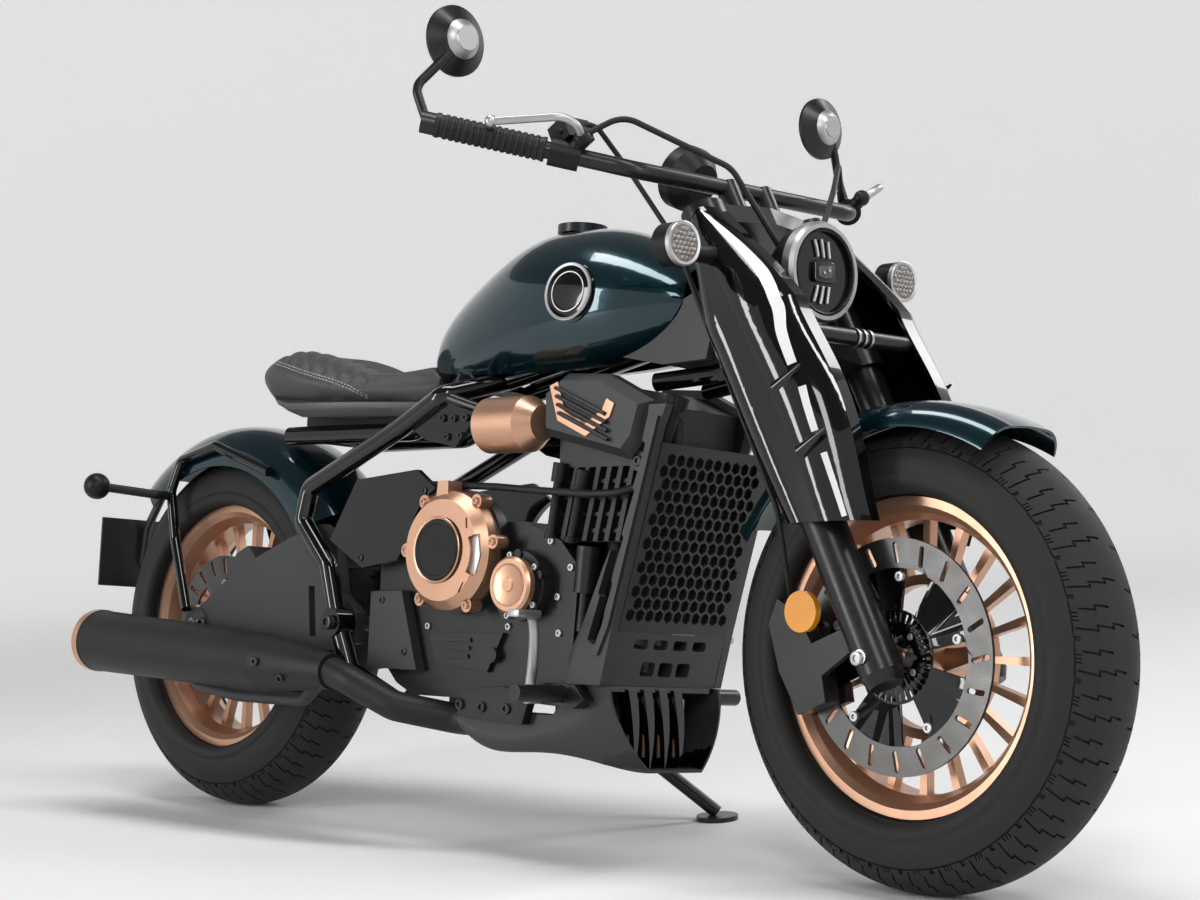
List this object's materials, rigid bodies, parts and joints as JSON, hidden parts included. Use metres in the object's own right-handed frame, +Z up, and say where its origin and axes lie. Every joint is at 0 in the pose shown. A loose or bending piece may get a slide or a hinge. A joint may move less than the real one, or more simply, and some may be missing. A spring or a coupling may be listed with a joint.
{
  "type": "cruiser motorcycle",
  "caption": "Low cruiser motorcycle with covered fork, round lamp, solo seat, side radiator shroud and copper cast wheels, leaning on its side stand.",
  "frame": {"origin": "centre of the overall footprint, on the ground", "axes": "+X forward, +Y to the rider's left, +Z up; the bike leans 8 degrees to its left"},
  "size_m": [2.1733, 0.9426, 1.2734],
  "materials": {
    "tank_paint": "deep metallic gloss",
    "gloss_black": "high gloss",
    "black_metal": "satin",
    "engine_black": "fine satin",
    "grey_panel": "matt with a fine grain",
    "copper": "satin metallic",
    "tyre_rubber": "matt",
    "rubber": "matt",
    "seat_leather": "satin grain",
    "disc_steel": "ground",
    "bright_steel": "polished",
    "silver": "brushed satin",
    "muffler_black": "matt heatproof",
    "clear_lens": "clear",
    "amber": "moulded amber",
    "plate_black": "satin",
    "black_plastic": "moulded"
  },
  "bodies": {
    "chassis": {"belly_pan": "grey_panel", "cap_inserts": "copper", "clutch_cover": "copper", "crankcase": "engine_black", "cylinders": "engine_black", "drive_belt": "rubber", "exhaust_pipe": "muffler_black", "fender_struts": "gloss_black", "foot_levers": "silver", "foot_pegs": "black_metal", "frame": "gloss_black", "fuel_tank": "tank_paint", "generator_cover": "engine_black", "grille": "grey_panel", "head_caps": "grey_panel", "hoses": "rubber", "intake_canister": "copper", "lower_side_plates": "grey_panel", "muffler": "muffler_black", "neck_covers": "grey_panel", "number_plate": "plate_black", "pump_cover": "copper", "radiator": "engine_black", "radiator_shroud": "grey_panel", "rear_axle": "bright_steel", "rear_fender": "tank_paint", "seat": "seat_leather", "seat_base": "black_plastic", "side_covers": "gloss_black", "swing_arm": "grey_panel", "tail_signals": "black_plastic", "tank_badges": "gloss_black", "tank_cap": "black_metal"},
    "steering": {"fork_legs": "black_metal", "fork_clamps": "black_metal", "fork_covers": "gloss_black", "front_axle": "bright_steel", "headlamp_bowl": "black_metal", "headlamp_ring": "silver", "headlamp_glass": "clear_lens", "lamp_bar": "black_metal", "handlebar": "black_metal", "grips": "rubber", "lever_perches": "black_plastic", "hand_levers": "silver", "instrument": "black_plastic", "mirrors": "black_metal", "front_signals": "black_plastic", "front_fender": "tank_paint", "front_caliper": "black_metal", "reflector": "amber", "cables": "rubber"},
    "front_wheel": {"front_tyre": "tyre_rubber", "front_rim": "copper", "front_disc": "disc_steel"},
    "rear_wheel": {"rear_tyre": "tyre_rubber", "rear_rim": "copper", "rear_disc": "disc_steel", "rear_sprocket": "disc_steel"},
    "side_stand": {"side_stand": "black_metal"}
  },
  "joints": [
    {"name": "steering_head", "type": "hinge", "parent": "chassis", "child": "steering", "pos_m": [0.45028, -0.03871, 0.81261], "axis": [-0.4695, 0.1229, 0.8744], "range_deg": [-28, 36]},
    {"name": "front_wheel_axle", "type": "hinge", "parent": "steering", "child": "front_wheel", "pos_m": [0.7669, -0.11138, 0.31805], "axis": [0.0616, 0.9924, -0.1064], "continuous": true},
    {"name": "rear_wheel_axle", "type": "hinge", "parent": "chassis", "child": "rear_wheel", "pos_m": [-0.723, -0.10827, 0.31766], "axis": [0, 0.9903, -0.1392], "continuous": true},
    {"name": "side_stand_pivot", "type": "hinge", "parent": "chassis", "child": "side_stand", "pos_m": [0.022, 0.02416, 0.16778], "axis": [-0.139, 0.9617, 0.2364], "range_deg": [0, 110]}
  ]
}
